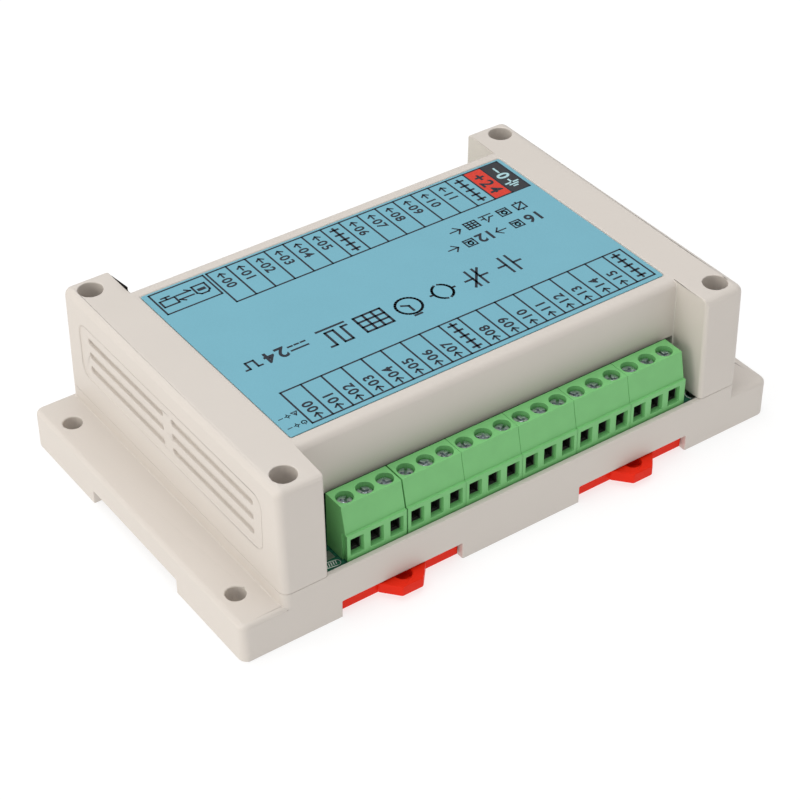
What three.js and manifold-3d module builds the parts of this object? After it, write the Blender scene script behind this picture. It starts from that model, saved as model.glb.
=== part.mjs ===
// Rail-mounted controller module: a two-part moulded housing with screw-down flanges, a circuit board
// with a row of screw terminals along each long side, and two sprung clips for a 35 mm rail.
// Millimetres, +Z up. X runs along the housing, the clips are on the -Y side, and the origin is the
// middle of the flat that seats on the rail. Heights inside this file are counted from the underside.

import * as THREE from "three";
import { mergeVertices } from "three/addons/utils/BufferGeometryUtils.js";
import Module from "manifold-3d";

const wasm = await Module();
wasm.setup();

// Driving dimensions

// Overall
const baseLength = 145;
const housingWidth = 90;
const housingHeight = 40.3;
const flangeLength = 10.3;
const flangeHeight = 10;

// Shells
const seamHeight = 13.4;
const seamGap = 0.1;
const coverWall = 2.2;
const baseWall = 2.6;
const rimWall = 1.25;
const skirtWall = 2;
const ribThickness = 2;
const floorTop = 6.4;
const bayRoof = 4.4;
const cornerRadius = 2;
const towerInnerRadius = 1.1;
const coverFillet = 1.8;
const flangeFillet = 1.2;
const draftPerMm = 0.0005;

// Cover
const towerLength = 11.3;
const bodyHalfWidth = 34.7;
const sideOpeningTop = 25.4;
const labelLength = 100;
const labelWidth = 61;
const labelThickness = 0.3;
const labelShift = 0.1;
const labelRecess = 0.4;
const labelClearance = 0.25;
const labelCorner = 0.5;

// Cover screws and their wells
const wellInset = 4.7;
const wellSideInset = 5.5;
const wellRadius = 2.9;
const wellTubeRadius = 4.6;
const wellFloorThickness = 2.2;
const coverScrewHeadRadius = 2.6;
const coverScrewHeadHeight = 2.1;
const coverScrewRadius = 1.45;
const coverScrewLength = 10;
const crossReach = 1.7;
const crossDepth = 1.15;
const bossRadius = 3.6;
const screwClearance = 0.2;

// Blind ventilation slots and the shallow panel round them
const slotLength = 32.4;
const slotHeight = 1.7;
const slotPitch = 3.9;
const slotRows = 3;
const slotMiddleGap = 3.5;
const slotCorner = 0.68;
const slotSink = 0.9;
const slotCentreHeight = 27.3;
const panelHalfWidth = 37.8;
const panelHeight = 14.6;
const panelRadius = 3;
const panelDepth = 0.25;

// Flange holes
const flangeHoleRadius = 2.3;
const flangeHoleSpacingX = 135.4;
const flangeHoleSpacingY = 70;
const flangeTubeRadius = 4.3;
const flangePlate = 2;

// Rail channel, for a 35 mm rail
const channelWidth = 36;
const channelDepth = 3.6;
const hookReach = 2;
const hookHeight = 1.9;

// Rail clips
const clipSpacing = 64;
const pocketWidth = 31.4;
const clipSideGap = 0.3;
const clipTravel = 3.5;
const clipFrontInset = 1.4;
const clipBarDepth = 3.6;
const clipBarFoot = 0.7;
const clipTop = 4.1;
const clipPlateFoot = 1.9;
const tabFoot = 1.4;
const clipRailWidth = 3.4;
const tabWidth = 12.4;
const tabTipWidth = 5.4;
const tabReach = 3.5;
const tabHoleRadius = 2.05;
const tabHoleInset = 1;
const tabHoleFloor = 0.7;
const tabRootRadius = 1;
const tabTipRadius = 0.7;
const tabRootInset = 0.56;
const noseReach = 1.7;
const noseWidth = 16;
const noseTop = 2.4;
const noseChamfer = 0.6;
const guideLedge = 1.5;
const guideHeight = 1.2;
const springReach = 6.6;
const springLeaf = 1;
const springSideGap = 0.5;
const springMiddleGap = 1.6;
const stopWidth = 6;
const stopDepth = 4;

// Circuit board
const boardThickness = 1.6;
const boardFoot = 10.6;
const boardGap = 0.3;
const boardEndGap = 0.8;
const boardNotchRadius = 1;
const boardNotch = 9.2;
const postRadius = 2.5;
const postSpacing = 60;

// Terminal strips
const polePitch = 5.08;
const stripEndGap = 4.15;
const nearBlocks = [3, 3, 3, 3, 3, 3];
const farBlocks = [2, 3, 3, 3, 3, 2];
const blockGap = 0.06;
const firstBlockGap = 0.3;
const endWall = 0.65;
const ribReach = 0.4;
const ribDepth = 1.5;
const ribSetBack = 0.35;
const ribClearance = 0.12;
const ribTop = 0.3;
const blockHeight = 14.4;
const blockFrontGap = 0.3;
const blockTopSetback = 2.1;
const blockTopDepth = 5.75;
const ledgeHeight = 7.7;
const ledgeStep = 0.5;
const ledgeLean = 0.1;
const faceLean = 0.05;
const inletWidth = 3.45;
const inletHeight = 4.4;
const inletCentre = 4.35;
const funnelDepth = 0.9;
const wireHoleWidth = 3;
const wireHoleHeight = 3.9;
const cageDepth = 6.6;
const screwWellRadius = 1.98;
const screwWellDepth = 9.6;
const screwSetForward = 0.45;
const headRadius = 1.78;
const headHeight = 1.5;
const headSink = 1.1;
const shankRadius = 1.25;
const shankLength = 4;
const slotWidth = 0.6;
const slotDepth = 0.7;
const firstSlotTurn = 20;
const slotTurn = 67;

// Parts on the board
const usbWidth = 12;
const usbDepth = 16;
const usbHeight = 11;
const usbCentre = -42.9;
const usbMouthWidth = 8.6;
const usbMouthHeight = 7.9;
const usbMouthDepth = 9;
const usbTongueWidth = 5.6;
const usbTongueHeight = 3.2;
const usbTongueInset = 1;
const usbShoulder = 1.6;
const usbWallGap = 0.4;
const relayCount = 12;
const relayPitch = 7.4;
const relayGroove = 0.4;
const relayDepth = 20.4;
const relayHeight = 15.3;
const relayFoot = 1.5;
const relaySpace = 0.8;
const relayShift = 4;
const chipSize = 14;
const chipHeight = 1.4;
const chipCorner = 0.4;
const chipPlace = [-8, -14, 0];
const capacitorRadius = 5;
const capacitorHeight = 16;
const capacitorPlace = [-48, 6, 0];
const canEdge = 0.4;
const canGroove = 1.8;
const standOff = 0.05;

// Derived places

const halfWidth = housingWidth / 2;
const halfBase = baseLength / 2;
const halfHousing = halfBase - flangeLength;
const towerInner = halfHousing - towerLength;
const coverFoot = seamHeight + seamGap / 2;
const rimTop = seamHeight - seamGap / 2;
const labelFloor = housingHeight - labelRecess;
const wellX = halfHousing - wellInset;
const wellY = halfWidth - wellSideInset;
const wellFloor = coverFoot + wellFloorThickness;
const boardTop = boardFoot + boardThickness;
const boardHalfLength = halfHousing - rimWall - boardEndGap;
const boardHalfWidth = halfWidth - rimWall - boardGap;
const channelHalf = channelWidth / 2;
const clipFront = -halfWidth + clipFrontInset;
const clipBack = -channelHalf - clipSideGap;
const blockFront = halfWidth - rimWall - blockFrontGap;
const blockTop = boardTop + blockHeight;
const blockTopFront = blockFront - blockTopSetback;
const blockBack = blockTopFront - blockTopDepth;
const stripRight = towerInner - stripEndGap;
const screwY = blockTopFront - blockTopDepth / 2 + screwSetForward;
const cut = 1;

// Solids

// A closed geometry as a solid that can be joined and cut.
function solid(geometry) {
  const bare = geometry.clone();
  bare.deleteAttribute("normal");
  bare.deleteAttribute("uv");
  const merged = mergeVertices(bare, 1e-4);
  const vertProperties = new Float32Array(merged.attributes.position.array);
  const triVerts = new Uint32Array(merged.index.array);
  return new wasm.Manifold(new wasm.Mesh({ numProp: 3, vertProperties, triVerts }));
}

function geometryOf(body) {
  const mesh = body.getMesh();
  const geometry = new THREE.BufferGeometry();
  const position = new THREE.BufferAttribute(new Float32Array(mesh.vertProperties), mesh.numProp);
  geometry.setAttribute("position", position);
  geometry.setIndex(new THREE.BufferAttribute(new Uint32Array(mesh.triVerts), 1));
  const flat = geometry.toNonIndexed();
  flat.computeVertexNormals();
  return flat;
}

function box([x0, x1], [y0, y1], [z0, z1]) {
  const geometry = new THREE.BoxGeometry(x1 - x0, y1 - y0, z1 - z0);
  return solid(geometry.translate((x0 + x1) / 2, (y0 + y1) / 2, (z0 + z1) / 2));
}

function rod(radius, [x, y], [z0, z1], sides = 24) {
  const geometry = new THREE.CylinderGeometry(radius, radius, z1 - z0, sides);
  return solid(geometry.rotateX(Math.PI / 2).translate(x, y, (z0 + z1) / 2));
}

// An outline through corners [x, y, radius], each rounded by its own radius.
function outline(corners) {
  const shape = new THREE.Shape();
  corners.forEach(([x, y, radius = 0], i) => {
    const corner = new THREE.Vector2(x, y);
    if (radius === 0) {
      if (shape.curves.length === 0 && i === 0) shape.moveTo(x, y);
      else shape.lineTo(x, y);
      return;
    }
    const before = new THREE.Vector2(...corners.at(i - 1)).sub(corner).normalize();
    const after = new THREE.Vector2(...corners[(i + 1) % corners.length]).sub(corner).normalize();
    const halfAngle = Math.acos(before.dot(after)) / 2;
    const middle = before.clone().add(after).normalize();
    const centre = middle.multiplyScalar(radius / Math.sin(halfAngle)).add(corner);
    const reach = radius / Math.tan(halfAngle);
    const start = before.clone().multiplyScalar(reach).add(corner).sub(centre);
    const end = after.clone().multiplyScalar(reach).add(corner).sub(centre);
    const clockwise = before.cross(after) > 0;
    // a path that has only its first point doesn't join that point to an arc by itself
    if (shape.curves.length === 0 && i > 0) shape.lineTo(centre.x + start.x, centre.y + start.y);
    shape.absarc(centre.x, centre.y, radius, start.angle(), end.angle(), clockwise);
  });
  shape.closePath();
  return shape;
}

function rectangle(halfX, halfY, radius = 0) {
  return outline([
    [halfX, -halfY, radius],
    [halfX, halfY, radius],
    [-halfX, halfY, radius],
    [-halfX, -halfY, radius],
  ]);
}

// An outline raised from z0 to z1, with its top edge rounded by fillet.
function raised(shape, [z0, z1], fillet = 0, curveSegments = 2) {
  const bevel = fillet > 0;
  const geometry = new THREE.ExtrudeGeometry(shape, {
    depth: z1 - z0 - fillet + (bevel ? cut : 0),
    curveSegments,
    bevelEnabled: bevel,
    bevelThickness: fillet,
    bevelSize: fillet,
    bevelOffset: -fillet,
    bevelSegments: 4,
  });
  const body = solid(geometry.translate(0, 0, bevel ? z0 - cut : z0));
  if (!bevel) return body;
  const below = box([-baseLength, baseLength], [-baseLength, baseLength], [z0 - baseLength, z0]);
  return body.subtract(below);
}

// An outline drawn in Y and Z, run along X.
function alongX(shape, [x0, x1], curveSegments = 2) {
  const settings = { depth: x1 - x0, curveSegments, bevelEnabled: false };
  const geometry = new THREE.ExtrudeGeometry(shape, settings);
  const axes = new THREE.Matrix4().makeBasis(
    new THREE.Vector3(0, 1, 0),
    new THREE.Vector3(0, 0, 1),
    new THREE.Vector3(1, 0, 0),
  );
  return solid(geometry.applyMatrix4(axes).translate(x0, 0, 0));
}

// A four-sided funnel from mouth to throat, both [width, height], running from y0 in to y1.
function funnel([mouthWidth, mouthHeight], [throatWidth, throatHeight], [x, z], [y0, y1]) {
  const geometry = new THREE.BoxGeometry(1, y1 - y0, 1);
  const points = geometry.attributes.position;
  for (let i = 0; i < points.count; i++) {
    const atMouth = points.getY(i) < 0;
    points.setX(i, points.getX(i) * (atMouth ? mouthWidth : throatWidth));
    points.setZ(i, points.getZ(i) * (atMouth ? mouthHeight : throatHeight));
  }
  return solid(geometry.translate(x, (y0 + y1) / 2, z));
}

// The body turned over in x where sx is -1 and in y where sy is -1.
function mirrored(body, sx, sy) {
  const overX = sx < 0 ? body.mirror([1, 0, 0]) : body;
  return sy < 0 ? overX.mirror([0, 1, 0]) : overX;
}

function joined(bodies) {
  return bodies.reduce((sum, body) => sum.add(body));
}

// The body leans in towards y = 0 as it rises from the seam, as a moulded wall does.
function drafted(body) {
  return body.warp((point) => {
    const rise = Math.max(0, point[2] - coverFoot);
    point[1] *= 1 - draftPerMm * rise;
  });
}

const corners = [
  [1, 1],
  [-1, 1],
  [-1, -1],
  [1, -1],
];

// Housing

// The plan of the cover's inside: a tower across each end and a narrower body between them.
function hollowPlan(end, tower, side, body) {
  return outline([
    [end, -side],
    [end, side],
    [tower, side],
    [tower, body],
    [-tower, body],
    [-tower, side],
    [-end, side],
    [-end, -side],
    [-tower, -side],
    [-tower, -body],
    [tower, -body],
    [tower, -side],
  ]);
}

// The cover's outside: a block with rounded edges and a step cut back along each side between the towers.
function coverOutside() {
  const plan = rectangle(halfHousing, halfWidth, cornerRadius);
  const block = raised(plan, [coverFoot, housingHeight], coverFillet);
  const foot = coverFoot - 2 * cut;
  const body = alongX(
    outline([
      [bodyHalfWidth, foot],
      [bodyHalfWidth, housingHeight, coverFillet],
      [0, housingHeight],
      [0, foot],
    ]),
    [-halfHousing, halfHousing],
    4,
  );
  const [z0, z1] = [coverFoot - cut, housingHeight + cut];
  const stepY = [bodyHalfWidth - coverFillet, halfWidth + cut];
  const step = box([-towerInner, towerInner], stepY, [z0, z1]).subtract(body);
  return drafted(
    block.subtract(step).subtract(mirrored(step, 1, -1)).subtract(towerInnerCorners()),
  );
}

// What is taken off the towers' inner upright corners to round them.
function towerInnerCorners() {
  const inset = towerInnerRadius - standOff / 2;
  const z = [coverFoot - cut, housingHeight + cut];
  const far = [towerInner - cut, towerInner + inset];
  const side = [halfWidth - inset, halfWidth + cut];
  const waste = box(far, side, z).subtract(
    rod(towerInnerRadius, [towerInner + inset, halfWidth - inset], [z[0] - cut, z[1] + cut]),
  );
  return joined(corners.map(([sx, sy]) => mirrored(waste, sx, sy)));
}

function ventSlots() {
  const middleY = (slotMiddleGap + slotLength) / 2;
  const slots = [];
  for (const end of [1, -1]) {
    for (const side of [1, -1]) {
      for (let row = 0; row < slotRows; row++) {
        const z = slotCentreHeight + (row - (slotRows - 1) / 2) * slotPitch;
        const [y0, y1] = [side * middleY - slotLength / 2, side * middleY + slotLength / 2];
        const [z0, z1] = [z - slotHeight / 2, z + slotHeight / 2];
        const slot = outline([
          [y1, z0, slotCorner],
          [y1, z1, slotCorner],
          [y0, z1, slotCorner],
          [y0, z0, slotCorner],
        ]);
        const [near, far] = [halfHousing - panelDepth - slotSink, halfHousing + cut];
        slots.push(alongX(slot, end > 0 ? [near, far] : [-far, -near]));
      }
    }
  }
  return joined(slots);
}

function endPanels() {
  const [z0, z1] = [slotCentreHeight - panelHeight / 2, slotCentreHeight + panelHeight / 2];
  const panel = outline([
    [panelHalfWidth, z0, panelRadius],
    [panelHalfWidth, z1, panelRadius],
    [-panelHalfWidth, z1, panelRadius],
    [-panelHalfWidth, z0, panelRadius],
  ]);
  const [near, far] = [halfHousing - panelDepth, halfHousing + cut];
  return alongX(panel, [near, far]).add(alongX(panel, [-far, -near]));
}

function topCover() {
  const outer = coverOutside();
  const innerPlan = hollowPlan(
    halfHousing - coverWall,
    towerInner + coverWall,
    halfWidth - coverWall,
    bodyHalfWidth - coverWall,
  );
  const hollow = drafted(raised(innerPlan, [coverFoot - cut, housingHeight - coverWall]));
  const places = corners.map(([sx, sy]) => [sx * wellX, sy * wellY]);
  const tubes = joined(places.map((place) => rod(wellTubeRadius, place, [0, housingHeight])));
  const wells = joined(places.map((place) => rod(wellRadius, place, [wellFloor, housingHeight + cut])));
  const screwHoles = joined(
    places.map((place) => rod(coverScrewRadius + screwClearance, place, [0, wellFloor + cut], 16)),
  );
  const openingX = towerInner - seamGap * 2;
  const sideOpenings = box([-openingX, openingX], [-halfWidth, halfWidth], [0, sideOpeningTop]);
  const recess = raised(
    rectangle(labelLength / 2 + labelClearance, labelWidth / 2 + labelClearance, labelCorner),
    [labelFloor, housingHeight + cut],
  ).translate([labelShift, 0, 0]);
  return outer
    .subtract(hollow.subtract(tubes))
    .subtract(wells)
    .subtract(screwHoles)
    .subtract(sideOpenings)
    .subtract(recess)
    .subtract(ventSlots())
    .subtract(endPanels());
}

// One clip pocket's cut, less its guide ledges and spring stop, centred on x.
function pocketCut(x) {
  const [x0, x1] = [x - pocketWidth / 2, x + pocketWidth / 2];
  const open = box([x0, x1], [-halfWidth - cut, -channelHalf + cut], [-cut, bayRoof]);
  const stopFace = clipBack - springReach - clipTravel - clipSideGap;
  const stopZ = [clipPlateFoot, bayRoof];
  const stop = box([x - stopWidth / 2, x + stopWidth / 2], [stopFace - stopDepth, stopFace], stopZ);
  const ledgeY = [-halfWidth + clipFrontInset + clipBarDepth + clipSideGap, -channelHalf - ribThickness];
  const ledges = [
    box([x0 - cut, x0 + guideLedge], ledgeY, [0, guideHeight]),
    box([x1 - guideLedge, x1 + cut], ledgeY, [0, guideHeight]),
  ];
  return open.subtract(joined([...ledges, stop]));
}

function undersideCuts() {
  const sideY = halfWidth - skirtWall;
  const bayX = halfHousing - skirtWall;
  const pocketEdges = [clipSpacing / 2 - pocketWidth / 2, clipSpacing / 2 + pocketWidth / 2];
  const innerEdge = channelHalf + ribThickness;
  const z = [-cut, bayRoof];
  const cuts = [
    box([-halfBase - cut, halfBase + cut], [-channelHalf, channelHalf], [-cut, channelDepth]),
    pocketCut(-clipSpacing / 2),
    pocketCut(clipSpacing / 2),
    box([-pocketEdges[0] + ribThickness, pocketEdges[0] - ribThickness], [-sideY, -innerEdge], z),
  ];
  for (const side of [1, -1]) {
    const outerBay = [pocketEdges[1] + ribThickness, bayX];
    const ordered = side > 0 ? outerBay : [-outerBay[1], -outerBay[0]];
    cuts.push(box(ordered, [-sideY, -innerEdge], z));
    cuts.push(box(ordered, [innerEdge, sideY], z));
    const farBay = [ribThickness / 2, pocketEdges[1]];
    cuts.push(box(side > 0 ? farBay : [-farBay[1], -farBay[0]], [innerEdge, sideY], z));
  }
  return joined(cuts);
}

function flangeCuts() {
  const innerEdge = channelHalf + ribThickness;
  const bayX = [halfHousing, halfBase - skirtWall];
  const bays = corners.map(([sx, sy]) =>
    box(
      sx > 0 ? bayX : [-bayX[1], -bayX[0]],
      sy > 0 ? [innerEdge, halfWidth - skirtWall] : [-halfWidth + skirtWall, -innerEdge],
      [-cut, flangeHeight - flangePlate],
    ),
  );
  const [holeX, holeY] = [flangeHoleSpacingX / 2, flangeHoleSpacingY / 2];
  const places = corners.map(([sx, sy]) => [sx * holeX, sy * holeY]);
  const tubes = joined(places.map((place) => rod(flangeTubeRadius, place, [0, flangeHeight])));
  const holes = joined(places.map((place) => rod(flangeHoleRadius, place, [-cut, flangeHeight + cut])));
  return joined(bays).subtract(tubes).add(holes);
}

function baseTray() {
  const plate = raised(rectangle(halfBase, halfWidth, cornerRadius), [0, flangeHeight], flangeFillet);
  const body = raised(rectangle(halfHousing, halfWidth, cornerRadius), [0, rimTop]);
  const lower = box(
    [-halfHousing + baseWall, halfHousing - baseWall],
    [-halfWidth + baseWall, halfWidth - baseWall],
    [floorTop, rimTop + cut],
  );
  const upper = box(
    [-halfHousing + rimWall, halfHousing - rimWall],
    [-halfWidth + rimWall, halfWidth - rimWall],
    [boardFoot - standOff, rimTop + cut],
  );
  const bosses = corners.map(([sx, sy]) =>
    rod(bossRadius, [sx * wellX, sy * wellY], [floorTop - cut, rimTop]),
  );
  const posts = [-1, 1].map((side) =>
    rod(postRadius, [(side * postSpacing) / 2, 0], [floorTop - cut, boardFoot - standOff]),
  );
  const screwDepth = wellFloor - coverScrewLength - screwClearance;
  const screwHoles = corners.map(([sx, sy]) =>
    rod(coverScrewRadius + screwClearance, [sx * wellX, sy * wellY], [screwDepth, rimTop + cut], 16),
  );
  const hookRoot = channelHalf + ribThickness / 2;
  const hooks = [-1, 1].map((side) => {
    const middle = (side * clipSpacing) / 2;
    const x = [middle - pocketWidth / 2, middle + pocketWidth / 2];
    return box(x, [channelHalf - hookReach, hookRoot], [0, hookHeight]);
  });
  return plate
    .add(body)
    .subtract(lower.add(upper))
    .add(joined(bosses))
    .add(joined(posts))
    .subtract(joined(screwHoles))
    .subtract(undersideCuts())
    .subtract(flangeCuts())
    .add(joined(hooks));
}

function coverScrew() {
  const head = rod(coverScrewHeadRadius, [0, 0], [0, coverScrewHeadHeight], 20);
  const shank = rod(coverScrewRadius, [0, 0], [-coverScrewLength, 0.2], 12);
  const arm = [-crossReach, crossReach];
  const slit = [-slotWidth / 2, slotWidth / 2];
  const depth = [coverScrewHeadHeight - crossDepth, coverScrewHeadHeight + cut];
  return head.add(shank).subtract(box(arm, slit, depth)).subtract(box(slit, arm, depth));
}

function frontLabel() {
  const plan = rectangle(labelLength / 2, labelWidth / 2, labelCorner);
  return raised(plan, [labelFloor + standOff, labelFloor + standOff + labelThickness]);
}

// Rail clip: a sliding frame with a screwdriver tab outside and a catch for the rail inside

function railClip() {
  const half = pocketWidth / 2 - clipSideGap;
  const [front, back] = [clipFront, clipBack];
  const window = [front + clipBarDepth, back - clipBarDepth];
  const frame = box([-half, half], [front, back], [clipPlateFoot, clipTop]);
  const opening = box([-half + clipRailWidth, half - clipRailWidth], window, [0, clipTop + cut]);
  const bar = box([-half, half], [front, front + clipBarDepth - clipSideGap], [clipBarFoot, clipTop]);
  const tip = front - clipFrontInset - tabReach;
  const tab = raised(
    outline([
      [-tabWidth / 2, front + clipBarDepth / 2],
      [-tabWidth / 2, front - clipFrontInset + tabRootInset, tabRootRadius],
      [-tabTipWidth / 2, tip, tabTipRadius],
      [tabTipWidth / 2, tip, tabTipRadius],
      [tabWidth / 2, front - clipFrontInset + tabRootInset, tabRootRadius],
      [tabWidth / 2, front + clipBarDepth / 2],
    ]),
    [tabFoot, clipTop],
  );
  const holeZ = [tabFoot + tabHoleFloor, clipTop + cut];
  const hole = rod(tabHoleRadius, [0, -halfWidth + tabHoleInset - clipFrontInset / 2], holeZ, 20);
  const catchLine = back + noseReach + clipSideGap;
  const nose = alongX(
    outline([
      [back - clipBarDepth, clipBarFoot],
      [catchLine, clipBarFoot],
      [catchLine, noseTop - noseChamfer],
      [catchLine - noseChamfer, noseTop],
      [back - clipBarDepth, noseTop],
    ]),
    [-noseWidth / 2, noseWidth / 2],
  );
  return joined([frame.subtract(opening), bar, tab, nose, ...springArms(window[1])]).subtract(hole);
}

// Two leaf springs moulded in the frame's window, reaching from its back corners to a tip by the middle.
function springArms(root) {
  const tip = clipBack - springReach;
  const outerX = pocketWidth / 2 - clipSideGap - clipRailWidth - springSideGap;
  const innerX = springMiddleGap / 2;
  const arm = outline([
    [outerX - springLeaf, root + springLeaf],
    [outerX - springLeaf, root - clipSideGap],
    [innerX + springLeaf, tip + springLeaf],
    [innerX, tip + springLeaf],
    [innerX, tip],
    [innerX + springLeaf, tip],
    [outerX, root - springLeaf],
    [outerX, root + springLeaf],
  ]);
  const right = raised(arm, [clipPlateFoot, clipTop]);
  return [right, right.mirror([1, 0, 0])];
}

// Circuit board and what it carries

function circuitBoard() {
  const [x, y] = [boardHalfLength, boardHalfWidth];
  const [nx, ny] = [boardHalfLength - boardNotch, boardHalfWidth - boardNotch];
  const plan = outline([
    [nx, -y],
    [nx, -ny, boardNotchRadius],
    [x, -ny],
    [x, ny],
    [nx, ny, boardNotchRadius],
    [nx, y],
    [-nx, y],
    [-nx, ny, boardNotchRadius],
    [-x, ny],
    [-x, -ny],
    [-nx, -ny, boardNotchRadius],
    [-nx, -y],
  ]);
  return raised(plan, [boardFoot, boardTop]);
}

// A block of poles with its front towards -Y and its left end at x = 0, standing on the board. A rib low
// on its right end fits a groove in the next block's left end, and the last block has a thicker end wall.
function terminalBlock(poles, isLast) {
  const foot = boardTop + standOff;
  const ledge = boardTop + ledgeHeight;
  const right = poles * polePitch + (isLast ? endWall : 0);
  const profile = outline([
    [-blockFront, foot],
    [-blockBack, foot],
    [-blockBack, blockTop],
    [-blockTopFront, blockTop],
    [-blockFront + ledgeLean + ledgeStep + faceLean, ledge],
    [-blockFront + ledgeLean, ledge],
  ]);
  const ribY = [-blockFront + ribSetBack, -blockFront + ribSetBack + ribDepth];
  const grooveY = [ribY[0] - ribClearance, ribY[1] + ribClearance];
  const rib = box([right - ribReach, right + ribReach], ribY, [foot, ledge - ribTop]);
  const grooveZ = [foot - cut, ledge - ribTop + ribClearance];
  const groove = box([-cut, ribReach + ribClearance], grooveY, grooveZ);
  const body = alongX(profile, [0, right]).add(rib);
  const inletZ = boardTop + inletCentre;
  const throat = -blockFront + funnelDepth;
  const mouth = [inletWidth, inletHeight];
  const hole = [wireHoleWidth, wireHoleHeight];
  const cuts = [groove];
  for (let pole = 0; pole < poles; pole++) {
    const x = (pole + 0.5) * polePitch;
    cuts.push(funnel(mouth, hole, [x, inletZ], [-blockFront - standOff, throat]));
    cuts.push(
      box(
        [x - wireHoleWidth / 2, x + wireHoleWidth / 2],
        [throat - standOff, throat + cageDepth - funnelDepth],
        [inletZ - wireHoleHeight / 2, inletZ + wireHoleHeight / 2],
      ),
    );
    cuts.push(rod(screwWellRadius, [x, -screwY], [blockTop - screwWellDepth, blockTop + cut], 20));
  }
  return body.subtract(joined(cuts));
}

function terminalScrew() {
  const head = rod(headRadius, [0, 0], [-headHeight, 0], 18);
  const shank = rod(shankRadius, [0, 0], [-headHeight - shankLength, -headHeight + 0.2], 10);
  const reach = headRadius + cut;
  const slot = box([-reach, reach], [-slotWidth / 2, slotWidth / 2], [-slotDepth, cut]);
  return head.add(shank).subtract(slot);
}

function usbSocket() {
  const [x0, x1] = [-usbWidth / 2, usbWidth / 2];
  const front = boardHalfWidth + boardGap - usbWallGap;
  const [z0, z1] = [boardTop + standOff, boardTop + usbHeight];
  const middle = (z0 + z1) / 2;
  const [hx, hz] = [usbMouthWidth / 2, usbMouthHeight / 2];
  const shell = box([x0, x1], [front - usbDepth, front], [z0, z1]);
  const mouth = new THREE.Shape([
    new THREE.Vector2(hx, -hz),
    new THREE.Vector2(hx, hz - usbShoulder),
    new THREE.Vector2(hx - usbShoulder, hz),
    new THREE.Vector2(-hx + usbShoulder, hz),
    new THREE.Vector2(-hx, hz - usbShoulder),
    new THREE.Vector2(-hx, -hz),
  ]);
  const opening = new THREE.ExtrudeGeometry(mouth, { depth: usbMouthDepth + cut, bevelEnabled: false });
  opening.rotateX(Math.PI / 2).translate(0, front + cut, middle);
  const tongue = box(
    [-usbTongueWidth / 2, usbTongueWidth / 2],
    [front - usbMouthDepth - standOff, front - usbTongueInset],
    [middle - usbTongueHeight / 2, middle + usbTongueHeight / 2],
  );
  return shell.subtract(solid(opening)).add(tongue);
}

// Twelve slim relays standing side by side, joined along their feet.
function relayBank() {
  const length = relayCount * relayPitch - relayGroove;
  const foot = boardTop + standOff;
  const back = boardHalfWidth - usbDepth - usbWallGap - relaySpace;
  const body = box([0, length], [back - relayDepth, back], [foot, foot + relayHeight]);
  const grooves = [];
  for (let i = 1; i < relayCount; i++) {
    const x = i * relayPitch - relayGroove;
    grooves.push(box([x, x + relayGroove], [0, halfWidth], [foot + relayFoot, housingHeight]));
  }
  return body.subtract(joined(grooves)).translate([relayShift - length / 2, 0, 0]);
}

function controllerChip() {
  const half = chipSize / 2;
  const foot = boardTop + standOff;
  return raised(rectangle(half, half, chipCorner), [foot, foot + chipHeight]);
}

function supplyCapacitor() {
  const profile = [
    [0, 0],
    [capacitorRadius - canEdge, 0],
    [capacitorRadius, canEdge],
    [capacitorRadius, canGroove - canEdge],
    [capacitorRadius - canEdge, canGroove],
    [capacitorRadius, canGroove + canEdge],
    [capacitorRadius, capacitorHeight - canEdge],
    [capacitorRadius - canEdge, capacitorHeight],
    [0, capacitorHeight],
  ].map(([r, z]) => new THREE.Vector2(r, z));
  const can = new THREE.LatheGeometry(profile, 24).rotateX(Math.PI / 2);
  return solid(can).translate([0, 0, boardTop + standOff]);
}

// Materials and assembly

const finishes = {
  housing: { color: 0xdcd4ce, roughness: 0.55, metalness: 0 },
  label: { color: 0x7db7cb, roughness: 0.4, metalness: 0 },
  board: { color: 0x10493b, roughness: 0.35, metalness: 0 },
  terminal: { color: 0x5fb463, roughness: 0.45, metalness: 0 },
  clip: { color: 0xe8341a, roughness: 0.4, metalness: 0 },
  zinc: { color: 0xb9bec2, roughness: 0.3, metalness: 1 },
  socket: { color: 0xc9ccd0, roughness: 0.25, metalness: 1 },
  relay: { color: 0x2b6fb0, roughness: 0.4, metalness: 0 },
  chip: { color: 0x1c1d20, roughness: 0.5, metalness: 0 },
  can: { color: 0x22262e, roughness: 0.35, metalness: 0 },
};

const module = new THREE.Group();
module.position.z = -channelDepth;

function add(name, body, finish, [x, y, z] = [0, 0, 0], turn = 0) {
  const mesh = new THREE.Mesh(geometryOf(body), new THREE.MeshStandardMaterial(finishes[finish]));
  mesh.name = name;
  mesh.position.set(x, y, z);
  mesh.rotation.z = THREE.MathUtils.degToRad(turn);
  module.add(mesh);
  return mesh;
}

add("base_tray", baseTray(), "housing");
add("top_cover", topCover(), "housing");
add("front_label", frontLabel(), "label", [labelShift, 0, 0]);
add("circuit_board", circuitBoard(), "board");

corners.forEach(([sx, sy], i) => {
  const place = [sx * wellX, sy * wellY, wellFloor + standOff];
  add(`cover_screw_${i + 1}`, coverScrew(), "zinc", place, firstSlotTurn + i * slotTurn);
});

add("rail_clip_left", railClip(), "clip", [-clipSpacing / 2, 0, 0]);
add("rail_clip_right", railClip(), "clip", [clipSpacing / 2, 0, 0]);

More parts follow.
